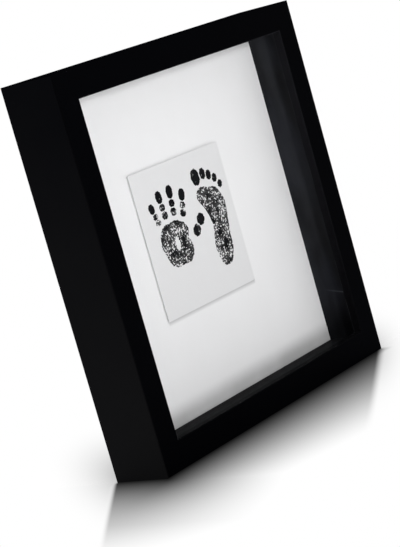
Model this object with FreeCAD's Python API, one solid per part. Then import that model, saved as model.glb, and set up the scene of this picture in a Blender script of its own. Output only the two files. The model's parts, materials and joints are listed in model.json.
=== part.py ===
"""A square black box frame, deep enough to show a card that floats in front of a white mount.

The card carries the inked prints of a baby's hand and foot. The frame stands on its flat
bottom edge, or hangs on the two rings behind it.

Millimetres. X runs to the right seen from the front, Y from the front to the back and Z up.
The origin is the middle of the bottom face, half way through the frame's depth.
"""
import FreeCAD, Part
import math
import os

V = FreeCAD.Vector
X_AXIS = V(1, 0, 0)
Y_AXIS = V(0, 1, 0)
Z_AXIS = V(0, 0, 1)

# The box
frame_width = 250.0
frame_height = 250.0
frame_depth = 42.0
face_width = 18.3
wall_thickness = 11.0
lip_thickness = 6.0
front_arris = 0.8
lip_arris = 0.6
back_bevel = 0.5

# Glass, spacers and boards, in the order that they are laid in from behind
glass_thickness = 2.0
glass_play = 0.3
spacer_thickness = 3.1
spacer_play = 0.3
spacer_joint_gap = 0.1
mount_thickness = 1.5
filler_thickness = 7.3
back_panel_thickness = 3.0
board_play = 0.4

# The floating card
card_width = 95.0
card_height = 96.0
card_thickness = 0.5
riser_thickness = 1.5
riser_inset = 1.0
card_off_centre = -4.6
card_lift = 1.6

# The inked prints, at a newborn's size
ink_thickness = 0.12
outline_sides = 48
oval_sides = 16
hand_from_card_middle = -18.0
hand_drop = 4.0
palm_width = 31.0
palm_height = 29.0
palm_hollow_length = 9.5
palm_hollow_width = 5.0
finger_width = 6.6
finger_length = 20.0
crease_gap = 0.5
foot_from_card_middle = 26.5
foot_drop = 3.5
foot_width = 27.0
sole_height = 55.0
toe_width = 8.6

# Corner V-nails, pressed in from behind
nail_leg = 6.0
nail_gauge = 0.5
nail_depth = 10.0
nail_from_corner = 3.2

# Turn buttons that hold the back panel, and their screws
button_reach = 12.5
button_root_radius = 4.2
button_tip_radius = 2.8
button_gauge = 1.0
button_curl_radius = 5.5
button_curl_turn = 42.0
button_running_gap = 0.1
button_spread = 124.0
button_screw_radius = 1.5
button_screw_length = 9.0
button_hole_clearance = 0.1

# Strap hangers, their rings and their screws
hanger_drop = 58.0
hanger_from_side = 8.0
strap_width = 5.8
strap_gauge = 0.8
strap_length = 22.0
strap_leaf_gap = 0.1
strap_screw_drop = 15.5
strap_neck = 3.2
strap_eye_turn = 30.0
ring_wire_radius = 0.8
ring_wire_clearance = 0.08
ring_width = 8.4
ring_corner_radius = 1.2
ring_leg = 4.0
ring_rest_gap = 0.3
wire_sides = 12
corner_steps = 4
bow_steps = 12
hanger_screw_radius = 1.4
hanger_screw_length = 9.0
hanger_hole_clearance = 0.1

# Pan heads and their cross recesses
head_radius = 2.8
head_flat_radius = 1.8
head_height = 1.7
head_rim = 0.8
recess_length = 3.0
recess_width = 0.7
recess_depth = 0.9
pilot_clearance = 0.05

# Rubber bumpers that keep the frame's bottom edge off the wall
bumper_radius = 4.0
bumper_height = 4.0
bumper_bevel = 0.8
bumper_from_side = 27.0

# One overrun for every cutting tool
overrun = 1.0

# Places worked out from the sizes above
front = -frame_depth / 2
back = frame_depth / 2
middle_height = frame_height / 2
rail_middle = wall_thickness / 2
glass_front = front + lip_thickness
glass_back = glass_front + glass_thickness
mount_back = back - back_panel_thickness - filler_thickness
mount_front = mount_back - mount_thickness
card_back = mount_front - riser_thickness
card_front = card_back - card_thickness
card_middle = V(card_off_centre, 0, middle_height + card_lift)
rebate_width = frame_width - 2 * wall_thickness
rebate_height = frame_height - 2 * wall_thickness
button_seat = back + button_running_gap
button_head_seat = button_seat + button_gauge + button_running_gap
strap_seat = back + 2 * strap_gauge
eye_bore = ring_wire_radius + ring_wire_clearance
eye_radius = eye_bore + strap_gauge

# Each rail is drawn as the bottom one and turned about Y to its side
SIDES = {
    "bottom": (0, frame_width, V(0, 0, 0)),
    "top": (180, frame_width, V(0, 0, frame_height)),
    "left": (90, frame_height, V(-frame_width / 2, 0, middle_height)),
    "right": (-90, frame_height, V(frame_width / 2, 0, middle_height)),
}


def to_side(shape, side):
    """Turn a shape drawn on the bottom rail to the named side."""
    angle, _, place = SIDES[side]
    placed = shape.copy()
    placed.rotate(V(0, 0, 0), Y_AXIS, angle)
    placed.translate(place)
    return placed


def moved(shape, place):
    """A shape drawn about the origin, carried to its place."""
    shape.translate(place)
    return shape


def plate(width, low_y, high_y, height, centre):
    """A flat board between two depths, centred in X and Z on a point."""
    corner = V(centre.x - width / 2, low_y, centre.z - height / 2)
    return Part.makeBox(width, high_y - low_y, height, corner)


def prism(points, run):
    """A closed outline of points, carried along a vector."""
    return Part.Face(Part.makePolygon(points + [points[0]])).extrude(run)


def rail_section():
    """The moulding across its length: a deep wall with a lip at the front.

    Z is the distance from the frame's outer side. The two front edges are eased by arcs.
    """
    ease = front_arris * (1 - math.sqrt(0.5))
    lip_ease = lip_arris * (1 - math.sqrt(0.5))
    lip_back = front + lip_thickness
    edges = [
        Part.LineSegment(V(0, back - back_bevel, 0), V(0, front + front_arris, 0)),
        Part.Arc(V(0, front + front_arris, 0), V(0, front + ease, ease), V(0, front, front_arris)),
        Part.LineSegment(V(0, front, front_arris), V(0, front, face_width - lip_arris)),
        Part.Arc(V(0, front, face_width - lip_arris),
                 V(0, front + lip_ease, face_width - lip_ease),
                 V(0, front + lip_arris, face_width)),
        Part.LineSegment(V(0, front + lip_arris, face_width), V(0, lip_back, face_width)),
        Part.LineSegment(V(0, lip_back, face_width), V(0, lip_back, wall_thickness)),
        Part.LineSegment(V(0, lip_back, wall_thickness), V(0, back, wall_thickness)),
        Part.LineSegment(V(0, back, wall_thickness), V(0, back, back_bevel)),
        Part.LineSegment(V(0, back, back_bevel), V(0, back - back_bevel, 0)),
    ]
    return Part.Face(Part.Wire([edge.toShape() for edge in edges]))


def rail(length):
    """One rail as the bottom one: the section along X, with both ends mitred at 45 degrees."""
    section = rail_section()
    section.translate(V(-length / 2, 0, 0))
    bar = section.extrude(V(length, 0, 0))
    tall = face_width + overrun
    start = front - overrun
    mitre = prism([V(-length / 2, start, 0), V(length / 2, start, 0),
                   V(length / 2 - tall, start, tall), V(tall - length / 2, start, tall)],
                  V(0, frame_depth + 2 * overrun, 0))
    return bar.common(mitre)


def v_nail():
    """A bent steel strip in the bottom left mitre, one leg in each rail, flush behind."""
    near = nail_from_corner
    far = near + nail_leg
    inner = near + nail_gauge
    outline = [V(near, 0, near), V(far, 0, near), V(far, 0, inner),
               V(inner, 0, inner), V(inner, 0, far), V(near, 0, far)]
    return moved(prism(outline, V(0, nail_depth, 0)), V(-frame_width / 2, back - nail_depth, 0))


def v_nails():
    """The nail of one corner, mirrored to the other three."""
    first = v_nail()
    right = first.mirror(V(0, 0, 0), X_AXIS)
    middle = V(0, 0, middle_height)
    return [first, right, first.mirror(middle, Z_AXIS), right.mirror(middle, Z_AXIS)]


def turned(points):
    """A closed outline of points in the XY plane, turned about Y into a solid."""
    face = Part.Face(Part.makePolygon(points + [points[0]]))
    return face.revolve(V(0, 0, 0), Y_AXIS, 360)


def pan_head_screw(shank_radius, length):
    """A screw along Y with its head's seat at the origin and its shank inwards.

    A half outline is turned about Y: a plain shank, the seat, the rim and the sloping crown,
    which is cut by a cross recess.
    """
    screw = turned([V(0, -length, 0), V(shank_radius, -length, 0), V(shank_radius, 0, 0),
                    V(head_radius, 0, 0), V(head_radius, head_rim, 0),
                    V(head_flat_radius, head_height, 0), V(0, head_height, 0)])
    floor = head_height - recess_depth
    for wide, tall in ((recess_length, recess_width), (recess_width, recess_length)):
        screw = screw.cut(plate(wide, floor, head_height + overrun, tall, V(0, 0, 0)))
    return screw


def pilot(shank_radius, length, seat):
    """The hole that a screw is driven into, from its seat down to its point."""
    return Part.makeCylinder(shank_radius + pilot_clearance, length + pilot_clearance, seat, -Y_AXIS)


def button_outline(run):
    """Two round ends joined by their outer tangents, carried along a vector."""
    lean = math.asin((button_root_radius - button_tip_radius) / button_reach)
    tip = V(0, 0, button_reach)
    root_point = V(math.cos(lean), 0, math.sin(lean)) * button_root_radius
    tip_point = tip + V(math.cos(lean), 0, math.sin(lean)) * button_tip_radius
    mirrored_root = V(-root_point.x, 0, root_point.z)
    mirrored_tip = V(-tip_point.x, 0, tip_point.z)
    edges = [
        Part.LineSegment(root_point, tip_point),
        Part.Arc(tip_point, tip + Z_AXIS * button_tip_radius, mirrored_tip),
        Part.LineSegment(mirrored_tip, mirrored_root),
        Part.Arc(mirrored_root, -Z_AXIS * button_root_radius, root_point),
    ]
    return Part.Face(Part.Wire([edge.toShape() for edge in edges])).extrude(run)


def button_side(turn):
    """The strip that a button is pressed from: flat, then curled outwards at its tip."""
    end = button_reach + button_tip_radius
    top_radius = button_curl_radius - button_gauge
    bend = end - top_radius * math.sin(turn)
    centre = V(0, button_curl_radius, bend)

    def on_curl(radius, angle):
        return centre + V(0, -math.cos(angle), math.sin(angle)) * radius

    low, high = -button_root_radius - overrun, bend
    edges = [
        Part.LineSegment(V(0, 0, low), V(0, 0, high)),
        Part.Arc(V(0, 0, high), on_curl(button_curl_radius, turn / 2), on_curl(button_curl_radius, turn)),
        Part.LineSegment(on_curl(button_curl_radius, turn), on_curl(top_radius, turn)),
        Part.Arc(on_curl(top_radius, turn), on_curl(top_radius, turn / 2), V(0, button_gauge, high)),
        Part.LineSegment(V(0, button_gauge, high), V(0, button_gauge, low)),
        Part.LineSegment(V(0, button_gauge, low), V(0, 0, low)),
    ]
    side = Part.Face(Part.Wire([edge.toShape() for edge in edges]))
    side.translate(V(-button_root_radius - overrun, 0, 0))
    return side.extrude(V(2 * (button_root_radius + overrun), 0, 0))


def turn_button():
    """A pressed steel button at the origin, pointing up Z, with its screw hole along Y."""
    button = button_outline(V(0, button_curl_radius, 0)).common(button_side(math.radians(button_curl_turn)))
    hole_radius = button_screw_radius + button_hole_clearance
    hole = Part.makeCylinder(hole_radius, button_gauge + 2 * overrun, V(0, -overrun, 0), Y_AXIS)
    return button.cut(hole)


def button_places():
    """Where each button turns, on the bottom rail's pattern: name, side and place along it."""
    pairs = [("%s_%s" % (side, end), side, sign * button_spread / 2)
             for side, flip in (("top", -1), ("bottom", 1))
             for end, sign in (("left", -flip), ("right", flip))]
    return pairs + [("left", "left", 0), ("right", "right", 0)]


def strap():
    """A hanger's strap, folded round the ring's bar. The bar's axis is the origin.

    The side view is a round eye that narrows into two flat leaves. The leaves lie on the
    rail, so the rail's back face is one eye radius in front of the bar.
    """
    eye = eye_radius
    leaf_face = 2 * strap_gauge - eye
    turn = math.radians(strap_eye_turn)
    leave = V(0, eye * math.cos(turn), -eye * math.sin(turn))
    edges = [
        Part.LineSegment(V(0, -eye, -strap_length), V(0, -eye, 0)),
        Part.Arc(V(0, -eye, 0), V(0, 0, eye), V(0, eye, 0)),
        Part.Arc(V(0, eye, 0), V(0, eye * math.cos(turn / 2), -eye * math.sin(turn / 2)), leave),
        Part.LineSegment(leave, V(0, leaf_face, -strap_neck)),
        Part.LineSegment(V(0, leaf_face, -strap_neck), V(0, leaf_face, -strap_length)),
        Part.LineSegment(V(0, leaf_face, -strap_length), V(0, -eye, -strap_length)),
    ]
    side = Part.Face(Part.Wire([edge.toShape() for edge in edges]))
    side.translate(V(-strap_width / 2, 0, 0))
    body = side.extrude(V(strap_width, 0, 0))
    body = body.cut(Part.makeCylinder(eye_bore, strap_width + 2 * overrun,
                                      V(-strap_width / 2 - overrun, 0, 0), X_AXIS))
    body = body.common(strap_outline())
    fold = strap_gauge - eye
    leaves = strap_length + overrun - strap_neck
    slit = plate(strap_width + 2 * overrun, fold - strap_leaf_gap / 2, fold + strap_leaf_gap / 2,
                 leaves, V(0, 0, -strap_neck - leaves / 2))
    body = body.cut(slit)
    hole_radius = hanger_screw_radius + hanger_hole_clearance
    return body.cut(Part.makeCylinder(hole_radius, 4 * eye, V(0, -2 * eye, -strap_screw_drop), Y_AXIS))


def strap_outline():
    """The strap seen from behind: straight sides, and a round end below the screw."""
    half = strap_width / 2
    end = half - strap_length
    top = strap_neck
    edges = [
        Part.LineSegment(V(half, 0, top), V(half, 0, end)),
        Part.Arc(V(half, 0, end), V(0, 0, -strap_length), V(-half, 0, end)),
        Part.LineSegment(V(-half, 0, end), V(-half, 0, top)),
        Part.LineSegment(V(-half, 0, top), V(half, 0, top)),
    ]
    outline = Part.Face(Part.Wire([edge.toShape() for edge in edges]))
    outline.translate(V(0, -strap_neck, 0))
    return outline.extrude(V(0, 2 * strap_neck, 0))


def wire_end(place, across):
    """The ring's wire cut square: a many sided outline, with one side of it across Y."""
    turns = [2 * math.pi * (step + 0.5) / wire_sides for step in range(wire_sides)]
    rim = [place + (Y_AXIS * math.cos(turn) + across * math.sin(turn)) * ring_wire_radius
           for turn in turns]
    return Part.makePolygon(rim + [rim[0]])


def wire_bend(centre, radius, start, sweep, steps):
    """Outlines of the wire round a bend about Y, at even turns from a start angle in degrees."""
    ends = []
    for step in range(steps + 1):
        turn = math.radians(start + sweep * step / steps)
        across = V(math.cos(turn), 0, math.sin(turn))
        ends.append(wire_end(centre + across * radius, across))
    return ends


def ring():
    """A D ring of wire, hanging straight down from its bar, which lies on X.

    From the bar's right end the wire follows a small corner, a leg, half a circle, a leg
    and a corner, and the bar closes it.
    """
    half = ring_width / 2
    corner = ring_corner_radius
    bar_end = half - corner
    leg_end = V(0, 0, -corner - ring_leg)
    ends = (wire_bend(V(bar_end, 0, -corner), corner, 90, -90, corner_steps)
            + wire_bend(leg_end, half, 0, -180, bow_steps)
            + wire_bend(V(-bar_end, 0, -corner), corner, 180, -90, corner_steps))
    loop = Part.makeLoft(ends, True, True)
    bar = Part.Face(wire_end(V(-bar_end, 0, 0), Z_AXIS)).extrude(V(2 * bar_end, 0, 0))
    return loop.fuse(bar).removeSplitter()


def ring_reach():
    """From the bar's axis to the middle of the wire at the bottom of the bow."""
    return ring_corner_radius + ring_leg + ring_width / 2


def ring_lean():
    """How far the ring leans from the wall where its bow rests on the strap, in degrees."""
    bow_from_rail = 2 * strap_gauge + ring_rest_gap + ring_wire_radius
    return math.degrees(math.asin((bow_from_rail - eye_radius) / ring_reach()))


def hanger_place(sign):
    """The middle of a ring's bar, on the left (-1) or the right (1)."""
    return V(sign * (frame_width / 2 - hanger_from_side), back + eye_radius,
             frame_height - hanger_drop)


def bumper():
    """A low round pad with a sloping rim, on the bottom rail's back."""
    rim = bumper_height - bumper_bevel
    return turned([V(0, 0, 0), V(bumper_radius, 0, 0), V(bumper_radius, rim, 0),
                   V(bumper_radius - bumper_bevel, bumper_height, 0), V(0, bumper_height, 0)])


def inked(points):
    """A closed outline in the XZ plane, given the ink's thickness towards the front."""
    return prism(points, V(0, -ink_thickness, 0))


def smooth_pad(shares, width, height):
    """A pad of ink whose outline runs smoothly through shares of its size."""
    curve = Part.BSplineCurve()
    curve.interpolate(Points=[V(x * width, 0, z * height) for x, z in shares], PeriodicFlag=True)
    return inked(curve.toShape().discretize(outline_sides + 1)[:-1])


def oval_pad(length, width, place, lean):
    """An upright oval of ink about a place, leaning clockwise by an angle in degrees."""
    turns = [2 * math.pi * step / oval_sides for step in range(oval_sides)]
    pad = inked([V(math.cos(turn) * width / 2, 0, math.sin(turn) * length / 2) for turn in turns])
    pad.rotate(V(0, 0, 0), Y_AXIS, lean)
    pad.translate(place)
    return pad


# Palm and sole outlines as shares of their width and height, measured from their middles
palm_shares = ((0.02, -0.50), (-0.30, -0.44), (-0.48, -0.12), (-0.50, 0.22), (-0.34, 0.44),
               (-0.05, 0.50), (0.26, 0.45), (0.44, 0.26), (0.40, 0.02), (0.46, -0.22), (0.34, -0.44))
sole_shares = ((0.02, -0.50), (-0.24, -0.42), (-0.29, -0.20), (-0.19, 0.02), (-0.30, 0.22),
               (-0.50, 0.38), (-0.34, 0.49), (0.02, 0.47), (0.36, 0.40), (0.50, 0.22),
               (0.42, -0.02), (0.36, -0.26), (0.26, -0.43))

# Each finger, then the thumb: its root as shares of the palm, its lean in degrees, and its
# length and width as shares of the middle finger's
finger_shares = ((-0.40, 0.52, -17, 0.78, 0.86), (-0.15, 0.60, -6, 0.95, 0.97),
                 (0.13, 0.60, 5, 1.00, 1.00), (0.40, 0.50, 17, 0.92, 0.98))
thumb_shares = (0.62, 0.00, 48, 0.84, 1.16)

# The pads between the creases, from the root to the tip: each one's length and width as
# shares of the inked length and the finger's width
finger_pad_shares = ((0.28, 0.90), (0.26, 0.86), (0.46, 0.98))
thumb_pad_shares = ((0.51, 0.95), (0.49, 0.98))

# Each toe: its place as shares of the sole's width and height, and its size as shares of
# the big toe's width
toe_shares = ((-0.36, 0.63, 1.00, 1.30), (-0.06, 0.64, 0.68, 0.86), (0.16, 0.60, 0.62, 0.76),
              (0.35, 0.54, 0.58, 0.68), (0.50, 0.45, 0.54, 0.60))


def digit(digit_shares, pad_shares):
    """A finger's or the thumb's pads, parted by creases, rising from the root."""
    root_x, root_z, lean, length_share, width_share = digit_shares
    inked_length = finger_length * length_share - crease_gap * (len(pad_shares) - 1)
    pads = []
    start = 0
    for pad_length_share, pad_width_share in pad_shares:
        length = inked_length * pad_length_share
        width = finger_width * width_share * pad_width_share
        pad = oval_pad(length, width, V(0, 0, start + length / 2), 0)
        pad.rotate(V(0, 0, 0), Y_AXIS, lean)
        pads.append(moved(pad, V(root_x * palm_width, 0, root_z * palm_height)))
        start += length + crease_gap
    return pads


def hand_print():
    """A left hand: a palm with its unprinted hollow, four fingers and a thumb."""
    palm = smooth_pad(palm_shares, palm_width, palm_height)
    pads = [palm.cut(oval_pad(palm_hollow_length, palm_hollow_width, V(0, 0, 0), 0))]
    for row in finger_shares:
        pads += digit(row, finger_pad_shares)
    return Part.Compound(pads + digit(thumb_shares, thumb_pad_shares))


def foot_print():
    """A right foot: a sole drawn in at its arch, and five toes."""
    pads = [smooth_pad(sole_shares, foot_width, sole_height)]
    for x, z, width_share, length_share in toe_shares:
        place = V(x * foot_width, 0, z * sole_height)
        pads.append(oval_pad(toe_width * length_share, toe_width * width_share, place, 0))
    return Part.Compound(pads)


def button_pieces():
    """Six turn buttons with their screws, and the holes that these need in the rails."""
    nodes, screws, holes = {}, [], []
    for name, side, along in button_places():
        button = moved(turn_button(), V(along, button_seat, rail_middle))
        nodes["turn_button_" + name] = to_side(button, side)
        seat = V(along, button_head_seat, rail_middle)
        screw = moved(pan_head_screw(button_screw_radius, button_screw_length), seat)
        screws.append(to_side(screw, side))
        holes.append(to_side(pilot(button_screw_radius, button_screw_length, seat), side))
    nodes["turn_button_screws"] = Part.Compound(screws)
    return nodes, holes


def hanger_pieces():
    """A strap, ring and screw on each side rail, and the holes that the screws need."""
    nodes, screws, holes = {}, [], []
    for name, sign in (("left", -1), ("right", 1)):
        place = hanger_place(sign)
        nodes["hanger_strap_" + name] = moved(strap(), place)
        loop = ring()
        loop.rotate(V(0, 0, 0), X_AXIS, ring_lean())
        nodes["hanger_ring_" + name] = moved(loop, place)
        seat = V(place.x, strap_seat, place.z - strap_screw_drop)
        screws.append(moved(pan_head_screw(hanger_screw_radius, hanger_screw_length), seat))
        holes.append(pilot(hanger_screw_radius, hanger_screw_length, seat))
    nodes["hanger_screws"] = Part.Compound(screws)
    return nodes, holes


def bumper_pieces():
    """A bumper near each end of the bottom rail."""
    from_middle = frame_width / 2 - bumper_from_side
    return {"wall_bumper_" + name: moved(bumper(), V(sign * from_middle, back, rail_middle))
            for name, sign in (("left", -1), ("right", 1))}


def rail_pieces(cuts):
    """The four rails, with what is driven into them cut out."""
    return {"rail_" + side: to_side(rail(length), side).cut(cuts)
            for side, (_, length, _) in SIDES.items()}


def spacer_pieces():
    """Strips that hold the mount away from the glass: two whole ones, and two between them."""
    width = rebate_width - 2 * spacer_play
    height = rebate_height - 2 * spacer_play
    between = height - 2 * (spacer_thickness + spacer_joint_gap)
    out_x = (width - spacer_thickness) / 2
    out_z = (height - spacer_thickness) / 2
    nodes = {}
    for name, sign in (("bottom", -1), ("top", 1)):
        nodes["spacer_" + name] = plate(width, glass_back, mount_front, spacer_thickness,
                                        V(0, 0, middle_height + sign * out_z))
    for name, sign in (("left", -1), ("right", 1)):
        nodes["spacer_" + name] = plate(spacer_thickness, glass_back, mount_front, between,
                                        V(sign * out_x, 0, middle_height))
    return nodes


def board_pieces():
    """The glass, the mount, the filler behind it and the back panel, each filling the rebate."""
    centre = V(0, 0, middle_height)
    width = rebate_width - 2 * board_play
    height = rebate_height - 2 * board_play
    return {
        "glass_pane": plate(rebate_width - 2 * glass_play, glass_front, glass_back,
                            rebate_height - 2 * glass_play, centre),
        "mount_board": plate(width, mount_front, mount_back, height, centre),
        "filler_board": plate(width, mount_back, mount_back + filler_thickness, height, centre),
        "back_panel": plate(width, back - back_panel_thickness, back, height, centre),
    }


def card_pieces():
    """The card on its riser, and the two prints on its face."""
    hand_place = card_middle + V(hand_from_card_middle, card_front, -hand_drop)
    foot_place = card_middle + V(foot_from_card_middle, card_front, -foot_drop)
    return {
        "card_riser": plate(card_width - 2 * riser_inset, card_back, mount_front,
                            card_height - 2 * riser_inset, card_middle),
        "print_card": plate(card_width, card_front, card_back, card_height, card_middle),
        "ink_handprint": moved(hand_print(), hand_place),
        "ink_footprint": moved(foot_print(), foot_place),
    }


def build():
    """Every piece in its place, by name."""
    buttons, button_holes = button_pieces()
    hangers, hanger_holes = hanger_pieces()
    nails = v_nails()
    nodes = rail_pieces(button_holes + hanger_holes + nails)
    nodes["corner_v_nails"] = Part.Compound(nails)
    for pieces in (board_pieces(), spacer_pieces(), card_pieces(), buttons, hangers, bumper_pieces()):
        nodes.update(pieces)
    return nodes


os.makedirs("parts", exist_ok=True)
for node, shape in build().items():
    shape.exportStep("parts/%s.step" % node)
    print("%-26s solids %2d  volume %10.1f  valid %s"
          % (node, len(shape.Solids), shape.Volume, shape.isValid()))
print("ring leans %.2f degrees at rest, reach %.2f" % (ring_lean(), ring_reach()))
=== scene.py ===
"""A square black box frame: a card with a baby's hand and foot prints, raised on a white mount."""
import json
import math

import bpy
import numpy as np
from mathutils import Matrix, Vector


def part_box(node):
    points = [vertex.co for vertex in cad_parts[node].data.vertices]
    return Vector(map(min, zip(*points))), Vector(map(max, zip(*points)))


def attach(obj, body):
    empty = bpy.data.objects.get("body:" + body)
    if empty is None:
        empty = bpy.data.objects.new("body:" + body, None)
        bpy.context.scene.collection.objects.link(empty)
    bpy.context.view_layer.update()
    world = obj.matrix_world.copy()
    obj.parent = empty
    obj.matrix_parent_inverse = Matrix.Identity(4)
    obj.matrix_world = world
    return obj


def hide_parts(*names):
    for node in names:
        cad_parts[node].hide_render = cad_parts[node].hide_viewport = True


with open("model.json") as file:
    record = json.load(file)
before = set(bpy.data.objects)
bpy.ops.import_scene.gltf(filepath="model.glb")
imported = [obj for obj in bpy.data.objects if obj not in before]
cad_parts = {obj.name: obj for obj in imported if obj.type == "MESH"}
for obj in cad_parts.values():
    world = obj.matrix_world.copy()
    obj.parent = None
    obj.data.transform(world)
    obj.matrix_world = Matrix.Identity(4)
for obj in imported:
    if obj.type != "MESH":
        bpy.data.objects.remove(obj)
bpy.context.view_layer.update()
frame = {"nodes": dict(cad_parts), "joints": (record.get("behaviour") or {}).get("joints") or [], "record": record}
nodes = frame["nodes"]

MM = 0.001

# The frame's own sizes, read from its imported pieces
half_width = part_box("rail_bottom")[1].x
half_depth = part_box("rail_bottom")[1].y
full_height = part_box("rail_top")[1].z
middle_height = full_height / 2
face_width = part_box("rail_bottom")[1].z


# Shapes

def piece_from_grid(name, points, around_closed=True, along_closed=False, smooth=True):
    """A mesh from a grid of points, rows along by columns around.

    Neighbouring rows and columns are joined by four-sided faces, and the ends of an open
    run are closed by a fan round the middle of the last row.
    """
    rows, columns = points.shape[:2]
    row = np.arange(rows if along_closed else rows - 1)
    column = np.arange(columns if around_closed else columns - 1)
    a = row[:, None] * columns + column[None, :]
    b = row[:, None] * columns + (column[None, :] + 1) % columns
    c = ((row[:, None] + 1) % rows) * columns + (column[None, :] + 1) % columns
    d = ((row[:, None] + 1) % rows) * columns + column[None, :]
    faces = np.stack([a, b, c, d], axis=-1).reshape(-1, 4)
    flat = points.reshape(-1, 3)
    fans = []
    if around_closed and not along_closed:
        ends = np.stack([points[0].mean(axis=0), points[-1].mean(axis=0)])
        first, last = len(flat), len(flat) + 1
        flat = np.vstack([flat, ends])
        ring = np.arange(columns)
        turn = np.roll(ring, -1)
        fans = [np.stack([turn, ring, np.full(columns, first)], axis=-1),
                np.stack([ring + (rows - 1) * columns, turn + (rows - 1) * columns,
                          np.full(columns, last)], axis=-1)]
    mesh = bpy.data.meshes.new(name)
    mesh.from_pydata(flat.tolist(), [], faces.tolist() + [f for fan in fans for f in fan.tolist()])
    mesh.update()
    mesh.shade_smooth() if smooth else mesh.shade_flat()
    piece = bpy.data.objects.new(name, mesh)
    bpy.context.scene.collection.objects.link(piece)
    return piece


def joined(name, parts):
    """Several pieces of one kind as one object."""
    bpy.ops.object.select_all(action="DESELECT")
    for part in parts:
        part.select_set(True)
    bpy.context.view_layer.objects.active = parts[0]
    bpy.ops.object.join()
    parts[0].name = name
    parts[0].data.name = name
    return parts[0]


def turned_rows(radii, heights, place, columns):
    """Rows of a turned shape: each radius carried round the Y axis at its height."""
    turn = np.linspace(0, 2 * math.pi, columns, endpoint=False)
    x = np.outer(radii, np.cos(turn))
    z = np.outer(radii, np.sin(turn))
    y = np.repeat(np.asarray(heights)[:, None], columns, axis=1)
    return np.stack([x, y, z], axis=-1) + np.asarray(place)


# Finishes

def new_finish(name, colour, roughness, metallic=0.0, specular=0.5):
    """A material with one Principled shader. Its even values sit on the shader itself."""
    material = bpy.data.materials.new(name)
    material.use_nodes = True
    tree = material.node_tree
    shader = tree.nodes["Principled BSDF"]
    shader.inputs["Base Color"].default_value = (*colour, 1)
    shader.inputs["Roughness"].default_value = roughness
    shader.inputs["Metallic"].default_value = metallic
    shader.inputs["Specular IOR Level"].default_value = specular
    return material, tree, shader


def put(tree, kind, inputs=None, **settings):
    """Adds a node. Each input is a value, or another node's output to link."""
    made = tree.nodes.new(kind)
    for key, value in settings.items():
        setattr(made, key, value)
    for key, value in (inputs or {}).items():
        if isinstance(value, bpy.types.NodeSocket):
            tree.links.new(value, made.inputs[key])
        else:
            made.inputs[key].default_value = value
    return made


def place_on_piece(tree):
    """Object coordinates, in metres in the frame's own space."""
    return put(tree, "ShaderNodeTexCoord").outputs["Object"]


def parts_of(tree, place):
    """The x, y and z of a place."""
    return put(tree, "ShaderNodeSeparateXYZ", {0: place}).outputs


def stretched(tree, place, scale, turn=(0, 0, 0)):
    """Object coordinates stretched by a scale for each axis, and turned."""
    return put(tree, "ShaderNodeMapping", {"Vector": place, "Scale": scale, "Rotation": turn}).outputs[0]


def grain(tree, place, scale, detail=3.0, rough=0.5):
    """Even noise between 0 and 1."""
    return put(tree, "ShaderNodeTexNoise",
               {"Vector": place, "Scale": scale, "Detail": detail, "Roughness": rough}).outputs[0]


def spread(tree, value, low, high, to_low, to_high, smooth=False):
    """Maps a range of a value on another range."""
    return put(tree, "ShaderNodeMapRange",
               {"Value": value, "From Min": low, "From Max": high, "To Min": to_low, "To Max": to_high},
               interpolation_type="SMOOTHSTEP" if smooth else "LINEAR").outputs[0]


def chained(tree, operation, *values):
    """Arithmetic on values from left to right, each one a number or a node's output."""
    result = values[0]
    for value in values[1:]:
        result = put(tree, "ShaderNodeMath", {0: result, 1: value}, operation=operation).outputs[0]
    return result


def total(tree, *values):
    """The values added up."""
    return chained(tree, "ADD", *values)


def difference(tree, first, second):
    """The first value less the second."""
    return chained(tree, "SUBTRACT", first, second)


def product(tree, *values):
    """The values multiplied."""
    return chained(tree, "MULTIPLY", *values)


def quotient(tree, first, second):
    """The first value divided by the second."""
    return chained(tree, "DIVIDE", first, second)


def powered(tree, value, power):
    """A value raised to a power."""
    return chained(tree, "POWER", value, power)


def larger(tree, *values):
    """The largest of the values."""
    return chained(tree, "MAXIMUM", *values)


def absolute(tree, value):
    """A value without its sign."""
    return chained(tree, "ABSOLUTE", value, 0.0)


def rest_of(tree, share):
    """What a share leaves of one."""
    return difference(tree, 1.0, share)


def tint(tree, share, low, high):
    """A colour between two, by a share."""
    made = put(tree, "ShaderNodeMix", {0: share}, data_type="RGBA")
    for socket, colour in ((made.inputs[6], low), (made.inputs[7], high)):
        if isinstance(colour, bpy.types.NodeSocket):
            tree.links.new(colour, socket)
        else:
            socket.default_value = (*colour, 1)
    return made.outputs[2]


def raised(tree, shader, height, depth, strength=1.0):
    """Sets a bump from a height between 0 and 1, with a depth in metres."""
    bump = put(tree, "ShaderNodeBump", {"Height": height, "Distance": depth, "Strength": strength})
    tree.links.new(bump.outputs[0], shader.inputs["Normal"])


def band(tree, past, width, share):
    """A share just past an edge that fades over a width, and nothing before the edge."""
    return product(tree, spread(tree, past, 0.0, width, share, 0), spread(tree, past, -0.3 * MM, 0, 0, 1))


def link(tree, output, shader, name):
    """Feeds a shader's input from a pattern."""
    tree.links.new(output, shader.inputs[name])


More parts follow.
